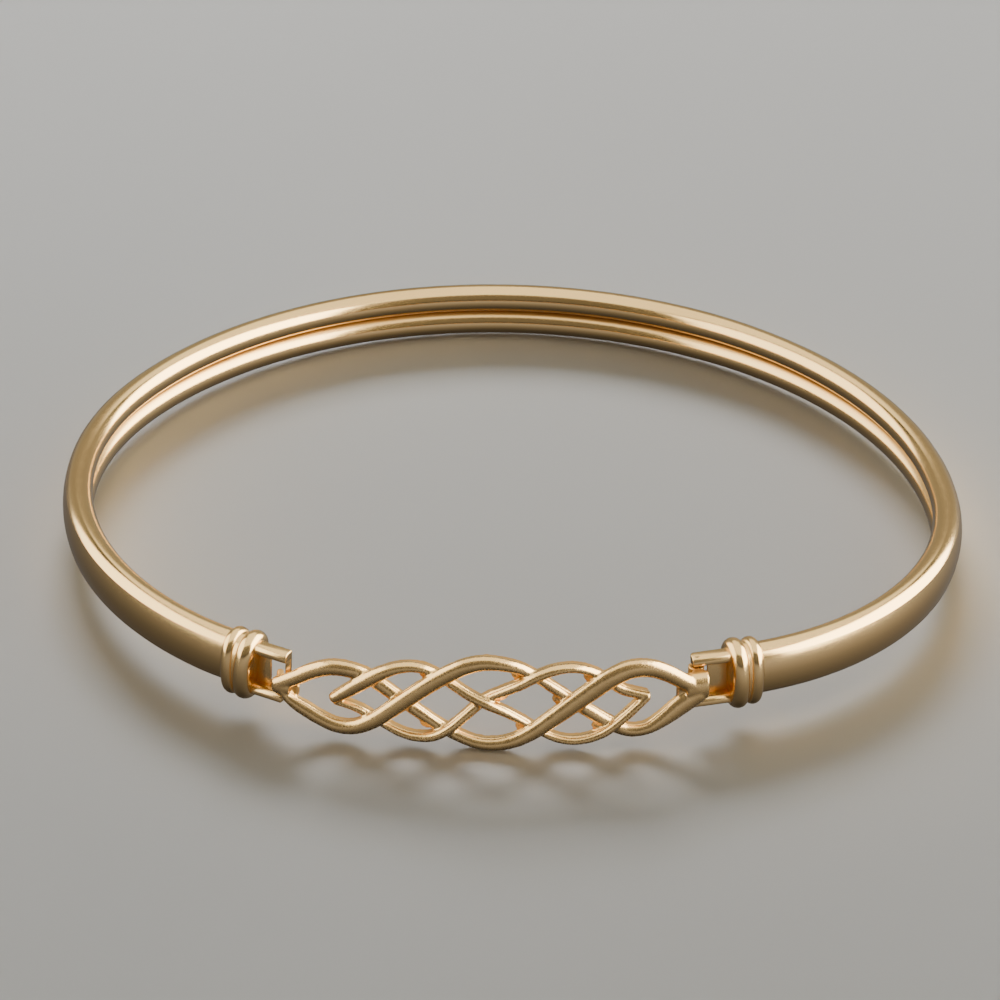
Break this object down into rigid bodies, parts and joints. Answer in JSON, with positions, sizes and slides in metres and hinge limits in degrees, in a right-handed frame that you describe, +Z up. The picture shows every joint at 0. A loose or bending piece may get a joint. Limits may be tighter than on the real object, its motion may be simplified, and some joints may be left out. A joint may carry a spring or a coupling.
{
  "type": "hinged bangle",
  "caption": "Oval hinged bangle in yellow gold: a hollow sprung band with ringed collars, and a woven knot panel that swings out on a pin and hooks behind a bar.",
  "frame": {"origin": "under the middle of the bangle's box, level with the lowest point of the knot panel", "axes": "+Z up along the wrist, -Y towards the knot panel's outer face, +X towards the hinge"},
  "size_m": [0.0662, 0.0588, 0.0078],
  "materials": {
    "gold": "polished",
    "cast_gold": "polished casting, rough in its recesses"
  },
  "bodies": {
    "bangle": {"band": "gold", "hinge_pin": "gold"},
    "panel": {"knot_panel": "cast_gold"}
  },
  "joints": [
    {"name": "panel_hinge", "type": "hinge", "parent": "bangle", "child": "panel", "pos_m": [0.01325, -0.02552, 0.00417], "axis": [0, 0, 1], "range_deg": [0, 65]}
  ]
}
